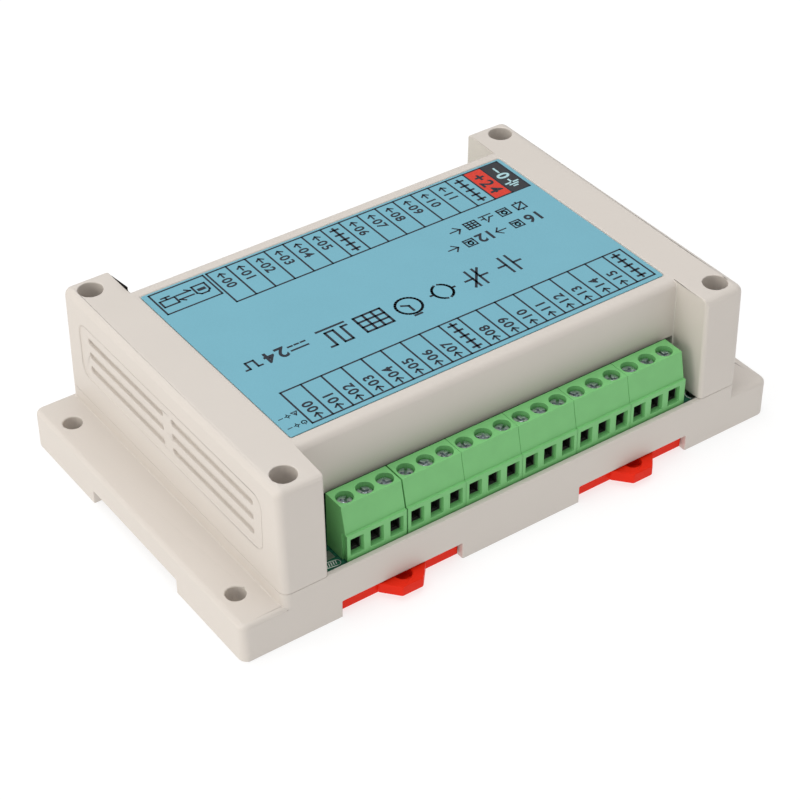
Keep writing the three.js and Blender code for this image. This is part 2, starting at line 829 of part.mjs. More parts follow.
// A strip of blocks and screws along one side: side is -1 for the clip side and 1 for the far side.
// Both strips end at the same x, and names count from the strip's left end as seen from in front of it.
function addStrip(label, blocks, side) {
  const poles = blocks.reduce((sum, count) => sum + count);
  const length = poles * polePitch + firstBlockGap + (blocks.length - 2) * blockGap;
  const left = side < 0 ? stripRight - length : stripRight;
  const turn = side < 0 ? 0 : 180;
  let reached = 0;
  let screw = 0;
  blocks.forEach((count, i) => {
    const isLast = i === blocks.length - 1;
    const x = left - side * reached;
    add(`${label}_block_${i + 1}`, terminalBlock(count, isLast), "terminal", [x, 0, 0], turn);
    for (let pole = 0; pole < count; pole++) {
      const place = [x - side * (pole + 0.5) * polePitch, side * screwY, blockTop - headSink];
      const number = String(screw + 1).padStart(2, "0");
      const slotAngle = (firstSlotTurn + screw * slotTurn) % 180;
      add(`${label}_screw_${number}`, terminalScrew(), "zinc", place, slotAngle);
      screw += 1;
    }
    reached += count * polePitch + (i === 0 ? firstBlockGap : blockGap);
  });
}

addStrip("input", nearBlocks, -1);
addStrip("output", farBlocks, 1);

add("usb_socket", usbSocket(), "socket", [usbCentre, 0, 0]);
add("relay_bank", relayBank(), "relay");
add("controller_chip", controllerChip(), "chip", chipPlace);
add("supply_capacitor", supplyCapacitor(), "can", capacitorPlace);

export default module;
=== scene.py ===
import math

import bmesh
import bpy
from mathutils import Matrix, Vector


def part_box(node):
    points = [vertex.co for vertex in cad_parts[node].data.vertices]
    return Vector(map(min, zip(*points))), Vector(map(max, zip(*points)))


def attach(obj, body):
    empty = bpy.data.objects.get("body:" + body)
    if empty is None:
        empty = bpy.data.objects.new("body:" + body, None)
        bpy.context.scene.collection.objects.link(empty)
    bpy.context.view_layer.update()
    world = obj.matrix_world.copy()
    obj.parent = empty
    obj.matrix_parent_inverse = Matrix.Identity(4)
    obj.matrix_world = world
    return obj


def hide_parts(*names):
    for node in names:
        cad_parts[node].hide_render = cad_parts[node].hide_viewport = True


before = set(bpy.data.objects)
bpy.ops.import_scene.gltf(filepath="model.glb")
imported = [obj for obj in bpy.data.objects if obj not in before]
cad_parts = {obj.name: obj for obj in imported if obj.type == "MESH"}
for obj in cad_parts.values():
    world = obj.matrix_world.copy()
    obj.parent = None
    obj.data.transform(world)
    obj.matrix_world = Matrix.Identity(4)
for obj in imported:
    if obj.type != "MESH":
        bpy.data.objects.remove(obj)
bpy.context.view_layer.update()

# Every length in the dictionaries is in millimetres, and becomes metres when a piece is finished.
mm = 0.001


def nodeBox(node):
    low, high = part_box(node)
    return low / mm, high / mm


coverLow, coverHigh = nodeBox("top_cover")
trayLow, trayHigh = nodeBox("base_tray")
labelLow, labelHigh = nodeBox("front_label")
boardLow, boardHigh = nodeBox("circuit_board")


def placeCamera():
    view = {
        "target": (-8.09, -10.02, 14.4),
        "azimuth": -35.24,
        "elevation": 37.87,
        "roll": -0.23,
        "distance": 493,
        "lens": 98.65,
    }
    azimuth = math.radians(view["azimuth"])
    elevation = math.radians(view["elevation"])
    back = Vector((math.sin(azimuth), -math.cos(azimuth), math.tan(elevation))).normalized()
    camera = bpy.data.objects.new("camera", bpy.data.cameras.new("camera"))
    bpy.context.scene.collection.objects.link(camera)
    camera.data.lens = view["lens"]
    camera.data.sensor_width = 36
    camera.data.clip_start = 0.01
    camera.data.clip_end = 20
    turn = back.to_track_quat("Z", "Y").to_matrix().to_4x4()
    place = (Vector(view["target"]) + back * view["distance"]) * mm
    roll = Matrix.Rotation(math.radians(view["roll"]), 4, "Z")
    camera.matrix_world = Matrix.Translation(place) @ turn @ roll
    bpy.context.scene.camera = camera


placeCamera()
print("camera placed")


class Wire:
    # one output socket; an expression on wires adds the Math nodes it needs
    def __init__(self, tree, socket=None):
        self.tree = tree
        self.socket = socket

    def node(self, kind, settings=None, sockets=None, out=0):
        made = self.tree.nodes.new(kind)
        for name, value in (settings or {}).items():
            setattr(made, name, value)
        for name, value in (sockets or {}).items():
            if isinstance(value, Wire):
                self.tree.links.new(value.socket, made.inputs[name])
            else:
                made.inputs[name].default_value = value
        return Wire(self.tree, made.outputs[out])

    def maths(self, operation, first, second=0.0, clamp=False):
        settings = {"operation": operation, "use_clamp": clamp}
        return self.node("ShaderNodeMath", settings, {0: first, 1: second})

    def __add__(self, other):
        return self.maths("ADD", self, other)

    def __radd__(self, other):
        return self.maths("ADD", other, self)

    def __sub__(self, other):
        return self.maths("SUBTRACT", self, other)

    def __rsub__(self, other):
        return self.maths("SUBTRACT", other, self)

    def __mul__(self, other):
        return self.maths("MULTIPLY", self, other)

    def __rmul__(self, other):
        return self.maths("MULTIPLY", other, self)


def blank(name, fixed):
    # a material with one Principled shader, whose unvarying values are set on its own sockets
    material = bpy.data.materials.new(name)
    material.use_nodes = True
    tree = material.node_tree
    shader = tree.nodes["Principled BSDF"]
    for socket, value in fixed.items():
        shader.inputs[socket].default_value = value
    place = Wire(tree).node("ShaderNodeTexCoord", out="Object")
    return material, shader, place


def feed(shader, socket, wire):
    wire.tree.links.new(wire.socket, shader.inputs[socket])


def noise(place, scale, detail=2.0, roughness=0.5):
    sockets = {"Vector": place, "Scale": scale, "Detail": detail, "Roughness": roughness}
    return place.node("ShaderNodeTexNoise", {}, sockets)


def between(factor, first, second):
    # a colour between two colours
    sockets = {0: factor, 6: first, 7: second}
    return factor.node("ShaderNodeMix", {"data_type": "RGBA"}, sockets, out=2)


def spread(value, low, high, newLow=0.0, newHigh=1.0):
    sockets = {"Value": value, "From Min": low, "From Max": high, "To Min": newLow, "To Max": newHigh}
    return value.node("ShaderNodeMapRange", {"clamp": True}, sockets)


def bump(height, strength, depth, below=None):
    sockets = {"Height": height, "Strength": strength, "Distance": depth}
    if below:
        sockets["Normal"] = below
    return height.node("ShaderNodeBump", {}, sockets)


def shade(colour, factor):
    return tuple(channel * factor for channel in colour[:3]) + (1.0,)


def mouldedPlastic(name, look):
    # satin moulded plastic: spark-eroded grain, faint flow mottling and uneven gloss
    fixed = {"IOR": look["ior"], "Specular IOR Level": look["specular"]}
    material, shader, place = blank(name, fixed)
    mottle = noise(place, look["mottleScale"], 3.0)
    patches = spread(mottle, 0.3, 0.7)
    colour = look["colour"]
    tint = between(patches, shade(colour, 1 - look["mottle"]), shade(colour, 1 + look["mottle"]))
    feed(shader, "Base Color", tint)
    grain = noise(place, look["grainScale"], 2.0, 0.6)
    handled = noise(place, look["mottleScale"] * 4.3, 4.0, 0.65)
    gloss = look["roughness"] + (grain - 0.5) * 0.08 + (handled - 0.5) * look["uneven"]
    feed(shader, "Roughness", gloss)
    ripple = noise(place, look["rippleScale"], 1.0)
    wavy = bump(ripple, look["ripple"], 0.02 * mm)
    feed(shader, "Normal", bump(grain, look["grain"], 0.02 * mm, wavy))
    return material


def housingPlastic():
    look = {
        "colour": (0.66, 0.61, 0.56),
        "roughness": 0.5,
        "uneven": 0.14,
        "ior": 1.53,
        "specular": 0.4,
        "mottle": 0.012,
        "mottleScale": 55,
        "grainScale": 3400,
        "grain": 0.55,
        "rippleScale": 260,
        "ripple": 0.25,
    }
    return mouldedPlastic("housing_plastic", look)


def terminalPlastic():
    look = {
        "colour": (0.185, 0.53, 0.182),
        "roughness": 0.42,
        "uneven": 0.16,
        "ior": 1.53,
        "specular": 0.4,
        "mottle": 0.03,
        "mottleScale": 240,
        "grainScale": 4200,
        "grain": 0.4,
        "rippleScale": 700,
        "ripple": 0.3,
    }
    return mouldedPlastic("terminal_plastic", look)


def clipPlastic():
    look = {
        "colour": (0.83, 0.022, 0.005),
        "roughness": 0.45,
        "uneven": 0.14,
        "ior": 1.5,
        "specular": 0.12,
        "mottle": 0.03,
        "mottleScale": 160,
        "grainScale": 3600,
        "grain": 0.3,
        "rippleScale": 500,
        "ripple": 0.35,
    }
    return mouldedPlastic("clip_plastic", look)


def relayPlastic():
    look = {
        "colour": (0.02, 0.13, 0.42),
        "roughness": 0.4,
        "uneven": 0.1,
        "ior": 1.5,
        "specular": 0.4,
        "mottle": 0.03,
        "mottleScale": 160,
        "grainScale": 3600,
        "grain": 0.3,
        "rippleScale": 500,
        "ripple": 0.3,
    }
    return mouldedPlastic("relay_case", look)


def insertPlastic():
    look = {
        "colour": (0.72, 0.71, 0.67),
        "roughness": 0.38,
        "uneven": 0.1,
        "ior": 1.5,
        "specular": 0.4,
        "mottle": 0.01,
        "mottleScale": 160,
        "grainScale": 3600,
        "grain": 0.25,
        "rippleScale": 500,
        "ripple": 0.2,
    }
    return mouldedPlastic("insert_plastic", look)


def chipResin():
    look = {
        "colour": (0.014, 0.014, 0.016),
        "roughness": 0.55,
        "uneven": 0.1,
        "ior": 1.5,
        "specular": 0.4,
        "mottle": 0.06,
        "mottleScale": 300,
        "grainScale": 5200,
        "grain": 0.6,
        "rippleScale": 500,
        "ripple": 0.1,
    }
    return mouldedPlastic("chip_resin", look)


def labelFilm():
    # velvet polycarbonate film printed on its back
    look = {"colour": (0.172, 0.425, 0.525), "roughness": 0.4, "specular": 0.35}
    fixed = {"Specular IOR Level": look["specular"], "Coat Weight": 0.08, "Coat Roughness": 0.35}
    material, shader, place = blank("label_film", fixed)
    screen = noise(place, 90, 2.0)
    fleck = noise(place, 5200, 1.0)
    tint = between(spread(screen, 0.3, 0.7), shade(look["colour"], 0.985), shade(look["colour"], 1.015))
    speckled = between(spread(fleck, 0.35, 0.7, 0.0, 0.09), tint, shade(look["colour"], 1.5))
    feed(shader, "Base Color", speckled)
    feed(shader, "Roughness", look["roughness"] + (fleck - 0.5) * 0.12)
    sag = bump(noise(place, 130, 1.0), 0.2, 0.03 * mm)
    feed(shader, "Normal", bump(fleck, 0.35, 0.01 * mm, sag))
    return material


def printedInk(name, colour, roughness=0.42):
    # screen-printed ink, a little uneven in cover
    material, shader, place = blank(name, {"Specular IOR Level": 0.35})
    cover = noise(place, 2600, 2.0, 0.6)
    tint = between(spread(cover, 0.3, 0.75), shade(colour, 0.9), shade(colour, 1.25))
    feed(shader, "Base Color", tint)
    feed(shader, "Roughness", roughness + (cover - 0.5) * 0.15)
    feed(shader, "Normal", bump(cover, 0.2, 0.01 * mm))
    return material


def platedMetal(name, look):
    # bright plating with fine turning and handling marks
    material, shader, place = blank(name, {})
    cloud = noise(place, look["cloudScale"], 3.0)
    scratch = noise(place, look["grainScale"], 3.0, 0.65)
    dull = spread(cloud, 0.35, 0.7)
    feed(shader, "Base Color", between(dull, shade(look["colour"], 1.0), shade(look["dull"], 1.0)))
    feed(shader, "Metallic", 1.0 - dull * 0.15)
    feed(shader, "Roughness", look["roughness"] + (scratch - 0.5) * 0.2 + dull * 0.1)
    feed(shader, "Normal", bump(scratch, look["marks"], 0.01 * mm))
    return material


def zincPlate():
    look = {
        "colour": (0.6, 0.65, 0.67),
        "dull": (0.33, 0.37, 0.39),
        "roughness": 0.26,
        "cloudScale": 900,
        "grainScale": 6000,
        "marks": 0.5,
    }
    return platedMetal("zinc_plate", look)


def nickelPlate():
    look = {
        "colour": (0.76, 0.74, 0.7),
        "dull": (0.6, 0.58, 0.54),
        "roughness": 0.22,
        "cloudScale": 300,
        "grainScale": 4000,
        "marks": 0.25,
    }
    return platedMetal("nickel_plate", look)


def shadedCageSteel():
    # near-black colour: painted shade standing in for the shade deep inside the wire inlets, not the
    # steel's own colour
    look = {
        "colour": (0.2, 0.2, 0.19),
        "dull": (0.1, 0.1, 0.1),
        "roughness": 0.42,
        "cloudScale": 500,
        "grainScale": 3000,
        "marks": 0.5,
    }
    return platedMetal("cage_steel_painted_shade", look)


def tinPlate():
    look = {
        "colour": (0.62, 0.62, 0.6),
        "dull": (0.42, 0.42, 0.4),
        "roughness": 0.38,
        "cloudScale": 500,
        "grainScale": 3000,
        "marks": 0.5,
    }
    return platedMetal("tin_plate", look)


def goldPlate():
    look = {
        "colour": (0.83, 0.6, 0.24),
        "dull": (0.6, 0.42, 0.17),
        "roughness": 0.25,
        "cloudScale": 500,
        "grainScale": 4000,
        "marks": 0.2,
    }
    return platedMetal("gold_plate", look)


def solderMask():
    # glossy green lacquer over copper tracks on woven glass laminate
    look = {"bare": (0.012, 0.1, 0.062), "track": (0.02, 0.16, 0.095), "trackPitch": 1.3}
    fixed = {"Coat Weight": 0.5, "Coat Roughness": 0.12, "Specular IOR Level": 0.5}
    material, shader, place = blank("solder_mask", fixed)
    settings = {"offset": 0.37, "squash": 1.9, "squash_frequency": 3}
    sockets = {
        "Vector": place,
        "Color1": (1, 1, 1, 1),
        "Color2": (0.85, 0.85, 0.85, 1),
        "Mortar": (0, 0, 0, 1),
        "Scale": 1 / (look["trackPitch"] * 6 * mm),
        "Mortar Size": 0.035,
        "Brick Width": 0.9,
        "Row Height": 0.17,
    }
    track = place.node("ShaderNodeTexBrick", settings, sockets, out="Fac")
    copper = 1.0 - track
    feed(shader, "Base Color", between(copper, look["bare"] + (1,), look["track"] + (1,)))
    weave = noise(place, 2400, 1.0)
    feed(shader, "Roughness", 0.3 + (weave - 0.5) * 0.1)
    raised = bump(copper, 0.35, 0.03 * mm)
    feed(shader, "Normal", bump(weave, 0.12, 0.02 * mm, raised))
    return material


def sleeveFilm():
    material, shader, place = blank("sleeve_film", {"Coat Weight": 0.3, "Coat Roughness": 0.15})
    cloud = noise(place, 300, 2.0)
    tint = between(spread(cloud, 0.3, 0.7), (0.012, 0.014, 0.02, 1), (0.02, 0.023, 0.03, 1))
    feed(shader, "Base Color", tint)
    feed(shader, "Roughness", 0.3 + cloud * 0.12)
    feed(shader, "Normal", bump(noise(place, 900, 1.0), 0.2, 0.02 * mm))
    return material


finishes = {
    "housing": housingPlastic(),
    "terminal": terminalPlastic(),
    "clip": clipPlastic(),
    "relay": relayPlastic(),
    "insert": insertPlastic(),
    "chip": chipResin(),
    "film": labelFilm(),
    "ink": printedInk("label_ink", (0.017, 0.021, 0.032)),
    "redInk": printedInk("red_ink", (0.62, 0.04, 0.022)),
    "blackInk": printedInk("black_ink", (0.03, 0.032, 0.038)),
    "paleInk": printedInk("pale_ink", (0.4, 0.62, 0.66)),
    "legend": printedInk("board_legend", (0.78, 0.8, 0.76), 0.55),
    "zinc": zincPlate(),
    "nickel": nickelPlate(),
    "tin": tinPlate(),
    "cage": shadedCageSteel(),
    "gold": goldPlate(),
    "board": solderMask(),
    "sleeve": sleeveFilm(),
}
print("materials made")


def put(work, name, looks, body="housing", replaced=(), edge=None, sharp=34, weighed=False):
    # turns a millimetre bmesh into a finished object; edge is (width, segments) of its rounded edges,
    # which are all the sharp ones, or those that carry a weight
    bmesh.ops.scale(work, vec=(mm, mm, mm), verts=work.verts)
    mesh = bpy.data.meshes.new(name)
    work.to_mesh(mesh)
    work.free()
    mesh.shade_smooth()
    mesh.set_sharp_from_angle(angle=math.radians(sharp))
    for look in looks:
        mesh.materials.append(finishes[look])
    piece = bpy.data.objects.new(name, mesh)
    bpy.context.scene.collection.objects.link(piece)
    if edge:
        rounding = piece.modifiers.new("edges", "BEVEL")
        rounding.width = edge[0] * mm
        rounding.segments = edge[1]
        rounding.limit_method = "WEIGHT" if weighed else "ANGLE"
        rounding.angle_limit = math.radians(sharp)
        rounding.use_clamp_overlap = False
        rounding.miter_outer = "MITER_ARC"
    evened = piece.modifiers.new("normals", "WEIGHTED_NORMAL")
    evened.keep_sharp = True
    if replaced:
        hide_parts(*replaced)
    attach(piece, body)
    return piece


def copyOf(node):
    # the node's mesh in millimetres, with its doubled vertices merged and every face on the first material
    work = bmesh.new()
    work.from_mesh(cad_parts[node].data)
    bmesh.ops.scale(work, vec=(1 / mm, 1 / mm, 1 / mm), verts=work.verts)
    bmesh.ops.remove_doubles(work, verts=work.verts, dist=0.002)
    for face in work.faces:
        face.material_index = 0
    return work


def block(work, low, high, edge=0.0, segments=2):
    # a box between two corners, with rounded edges
    low, high = Vector(low), Vector(high)
    size = Matrix.Diagonal((high - low).to_4d())
    size[3][3] = 1
    place = Matrix.Translation((low + high) / 2) @ size
    made = bmesh.ops.create_cube(work, size=1, matrix=place)["verts"]
    if edge > 0:
        edges = list({e for v in made for e in v.link_edges})
        rounded = bmesh.ops.bevel(
            work, geom=edges, offset=edge, segments=segments, profile=0.5, affect="EDGES", material=-1,
        )
        return rounded["verts"]
    return made


def tube(work, centre, radius, low, high, segments=32, edge=0.0):
    # an upright cylinder from low to high, with its rims rounded
    place = Matrix.Translation((centre[0], centre[1], (low + high) / 2))
    size = {"segments": segments, "radius1": radius, "radius2": radius, "depth": high - low}
    made = bmesh.ops.create_cone(work, cap_ends=True, matrix=place, **size)["verts"]
    if edge > 0:
        edges = {e for v in made for e in v.link_edges}
        rims = [e for e in edges if abs(e.verts[0].co.z - e.verts[1].co.z) < 1e-6]
        bmesh.ops.bevel(work, geom=rims, offset=edge, segments=2, profile=0.5, affect="EDGES", material=-1)
    return made


def weighEdges(work, sharp, level, reach, share):
    # full rounding for every sharp edge, and a share of it for those at a level and within reach of y = 0
    weights = work.edges.layers.float.new("bevel_weight_edge")
    for edge in work.edges:
        if len(edge.link_faces) == 2 and edge.calc_face_angle() > math.radians(sharp):
            spared = all(abs(v.co.z - level) < 0.2 and abs(v.co.y) < reach for v in edge.verts)
            edge[weights] = share if spared else 1.0


def housing():
    look = {"edge": 0.26, "segments": 2, "sharp": 34, "seamShare": 0.2}
    seam = (coverLow.z + trayHigh.z) / 2
    for node, reach in (("top_cover", coverHigh.y + 1), ("base_tray", trayHigh.y - 0.5)):
        work = copyOf(node)
        weighEdges(work, look["sharp"], seam, reach, look["seamShare"])
        edge = (look["edge"], look["segments"])
        put(work, node + "_moulding", ["housing"], "housing", [node], edge, weighed=True)


def terminalBlocks():
    look = {"edge": 0.1, "segments": 2}
    edge = (look["edge"], look["segments"])
    for node in sorted(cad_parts):
        if "_block_" in node:
            put(copyOf(node), node + "_body", ["terminal"], "housing", [node], edge)


def railClips():
    look = {"edge": 0.2, "segments": 2}
    edge = (look["edge"], look["segments"])
    for side in ("left", "right"):
        node = "rail_clip_" + side
        put(copyOf(node), node + "_moulding", ["clip"], node, [node], edge)


housing()
terminalBlocks()
railClips()
print("mouldings refined")


def cutWith(target, tool):
    # takes the tool's solid out of the target's, and returns the target's new mesh
    cut = target.modifiers.new("cut", "BOOLEAN")
    cut.object = tool
    cut.solver = "EXACT"
    bpy.context.view_layer.update()
    seen = target.evaluated_get(bpy.context.evaluated_depsgraph_get())
    mesh = bpy.data.meshes.new_from_object(seen)
    bpy.data.objects.remove(target)
    bpy.data.objects.remove(tool)
    return mesh


def loose(work, name):
    # a working object that is never finished, for a cut
    mesh = bpy.data.meshes.new(name)
    work.to_mesh(mesh)
    work.free()
    thing = bpy.data.objects.new(name, mesh)
    bpy.context.scene.collection.objects.link(thing)
    return thing


def screwShape(look):
    # a head on a shank, its top at zero, with a driving slot and a shorter slot across it
    work = bmesh.new()
    tube(work, (0, 0), look["head"], -look["headHeight"], 0, 40, look["rim"])
    tube(work, (0, 0), look["shank"], -look["headHeight"] - look["length"], -look["headHeight"] + 0.1, 24)
    target = loose(work, "screw_blank")
    bar = bmesh.new()
    half = look["slot"] / 2
    block(bar, (-look["slotReach"], -half, -look["slotDepth"]), (look["slotReach"], half, 1))
    first = cutWith(target, loose(bar, "slot_tool"))
    cross = bmesh.new()
    block(cross, (-half, -look["crossReach"], -look["crossDepth"]), (half, look["crossReach"], 1))
    again = bpy.data.objects.new("screw_slotted", first)
    bpy.context.scene.collection.objects.link(again)
    return cutWith(again, loose(cross, "cross_tool"))


def stamped(shape, place, turn, tilt=0.0):
    work = bmesh.new()
    work.from_mesh(shape)
    lean = Matrix.Rotation(math.radians(tilt), 4, "X")
    spin = Matrix.Rotation(math.radians(turn), 4, "Z")
    bmesh.ops.transform(work, matrix=Matrix.Translation(place) @ spin @ lean, verts=work.verts)
    return work


def terminalScrews():
    look = {
        "head": 1.78,
        "headHeight": 1.5,
        "rim": 0.16,
        "shank": 1.2,
        "length": 4,
        "slot": 0.62,
        "slotReach": 3,
        "slotDepth": 0.75,
        "crossReach": 1.15,
        "crossDepth": 0.75,
        "turn": 67,
    }
    shape = screwShape(look)
    nodes = [node for node in sorted(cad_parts) if "_screw_" in node and "cover" not in node]
    for index, node in enumerate(nodes):
        low, high = nodeBox(node)
        place = ((low.x + high.x) / 2, (low.y + high.y) / 2, high.z)
        work = stamped(shape, place, 31 + index * look["turn"])
        put(work, node + "_plated", ["zinc"], node, [node], (0.06, 1))


def coverScrews():
    look = {
        "head": 2.6,
        "headHeight": 2.1,
        "rim": 0.5,
        "shank": 1.45,
        "length": 10,
        "slot": 0.8,
        "slotReach": 1.7,
        "slotDepth": 1.2,
        "crossReach": 1.7,
        "crossDepth": 1.2,
    }
    shape = screwShape(look)
    for index in range(4):
        node = f"cover_screw_{index + 1}"
        low, high = nodeBox(node)
        place = ((low.x + high.x) / 2, (low.y + high.y) / 2, high.z)
        work = stamped(shape, place, 20 + index * 67)
        put(work, node + "_plated", ["zinc"], "housing", [node], (0.08, 1))


terminalScrews()
coverScrews()
print("screws made")


def wireCages():
    look = {
        "width": 2.9,
        "height": 3.8,
        "depth": 5.2,
        "wall": 0.2,
        "setBack": 1.2,
        "centre": 4.35,
        "teeth": 4,
    }
    for strip, side in (("input", -1), ("output", 1)):
        work = bmesh.new()
        for node in sorted(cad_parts):
            if not node.startswith(strip + "_screw_"):
                continue
            low, high = nodeBox(node)
            x = (low.x + high.x) / 2
            front = side * (abs(nodeBox(strip + "_block_1")[0 if side < 0 else 1].y) - look["setBack"])
            back = front - side * look["depth"]
            z = boardHigh.z + look["centre"]
            made = block(work, (x - look["width"] / 2, min(front, back), z - look["height"] / 2),
                         (x + look["width"] / 2, max(front, back), z + look["height"] / 2))
            faces = {face for v in made for face in v.link_faces}
            mouth = [face for face in faces if face.normal.y * side > 0.9]
            bmesh.ops.inset_region(work, faces=mouth, thickness=look["wall"])
            floor = bmesh.ops.extrude_face_region(work, geom=mouth)["geom"]
            bmesh.ops.delete(work, geom=mouth, context="FACES_ONLY")
            moved = [v for v in floor if isinstance(v, bmesh.types.BMVert)]
            bmesh.ops.translate(work, vec=(0, -side * (look["depth"] - look["wall"]), 0), verts=moved)
            sill = z - look["height"] / 2 + look["wall"]
            for tooth in range(look["teeth"]):
                y = front - side * (0.5 + tooth * 0.55)
                block(work, (x - 1.0, y - 0.09, sill - 0.02), (x + 1.0, y + 0.09, sill + 0.16))
        # the cages' near-black finish is painted shade for the dark insides of the inlets
        put(work, strip + "_wire_cages", ["cage"])


def solderPins():
    # one pin under each pole, from the board's underside, with its cone of solder
    look = {"width": 0.9, "reach": 1.7, "setBack": 1.6, "coneFoot": 1.15, "coneHeight": 0.9}
    work = bmesh.new()
    foot = boardLow.z
    for node in sorted(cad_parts):
        if not node.startswith(("input_screw_", "output_screw_")):
            continue
        low, high = nodeBox(node)
        x = (low.x + high.x) / 2
        y = (low.y + high.y) / 2
        y -= math.copysign(look["setBack"], y)
        half = look["width"] / 2
        block(work, (x - half, y - half, foot - look["reach"]), (x + half, y + half, foot))
        drop = Matrix.Translation((x, y, foot - look["coneHeight"] / 2))
        bmesh.ops.create_cone(work, cap_ends=True, segments=16, radius1=half, radius2=look["coneFoot"],
                              depth=look["coneHeight"], matrix=drop)
    put(work, "solder_pins", ["tin"])


wireCages()
solderPins()
print("cages and pins made")


def flatBar(work, start, end, width, square=True):
    # a flat stroke between two points
    start, end = Vector(start), Vector(end)
    run = end - start
    length = run.length + (width if square else 0)
    middle = (start + end) / 2
    turn = Matrix.Rotation(math.atan2(run.y, run.x), 4, "Z")
    size = Matrix.Diagonal((length, width, 1, 1))
    place = Matrix.Translation((middle.x, middle.y, 0)) @ turn @ size
    bmesh.ops.create_grid(work, x_segments=1, y_segments=1, size=0.5, matrix=place)


def flatRing(work, centre, radius, width, segments=32):
    rims = []
    for reach in (radius + width / 2, radius - width / 2):
        place = Matrix.Translation((centre[0], centre[1], 0))
        made = bmesh.ops.create_circle(work, segments=segments, radius=reach, matrix=place)
        rims += list({e for v in made["verts"] for e in v.link_edges})
    bmesh.ops.bridge_loops(work, edges=rims)


def arcPoints(centre, radius, first, last, steps=10):
    turns = [math.radians(first + (last - first) * i / steps) for i in range(steps + 1)]
    return [(centre[0] + radius * math.cos(turn), centre[1] + radius * math.sin(turn)) for turn in turns]


def digitShapes():
    # each numeral as a flat mesh of height 1, centred on its own middle
    shapes = {}
    for digit in "0123456789+":
        curve = bpy.data.curves.new("digit", "FONT")
        curve.body = digit
        curve.resolution_u = 6
        curve.offset = 0.028
        writer = bpy.data.objects.new("digit", curve)
        bpy.context.scene.collection.objects.link(writer)
        bpy.context.view_layer.update()
        mesh = bpy.data.meshes.new_from_object(writer.evaluated_get(bpy.context.evaluated_depsgraph_get()))
        bpy.data.objects.remove(writer)
        work = bmesh.new()
        work.from_mesh(mesh)
        low = Vector([min(v.co[i] for v in work.verts) for i in range(3)])
        high = Vector([max(v.co[i] for v in work.verts) for i in range(3)])
        bmesh.ops.translate(work, vec=-(low + high) / 2, verts=work.verts)
        tall = 1 / 0.729 if digit == "+" else 1 / (high.y - low.y)
        bmesh.ops.scale(work, vec=(tall, tall, 1), verts=work.verts)
        work.to_mesh(mesh)
        work.free()
        shapes[digit] = mesh
    return shapes


digits = digitShapes()


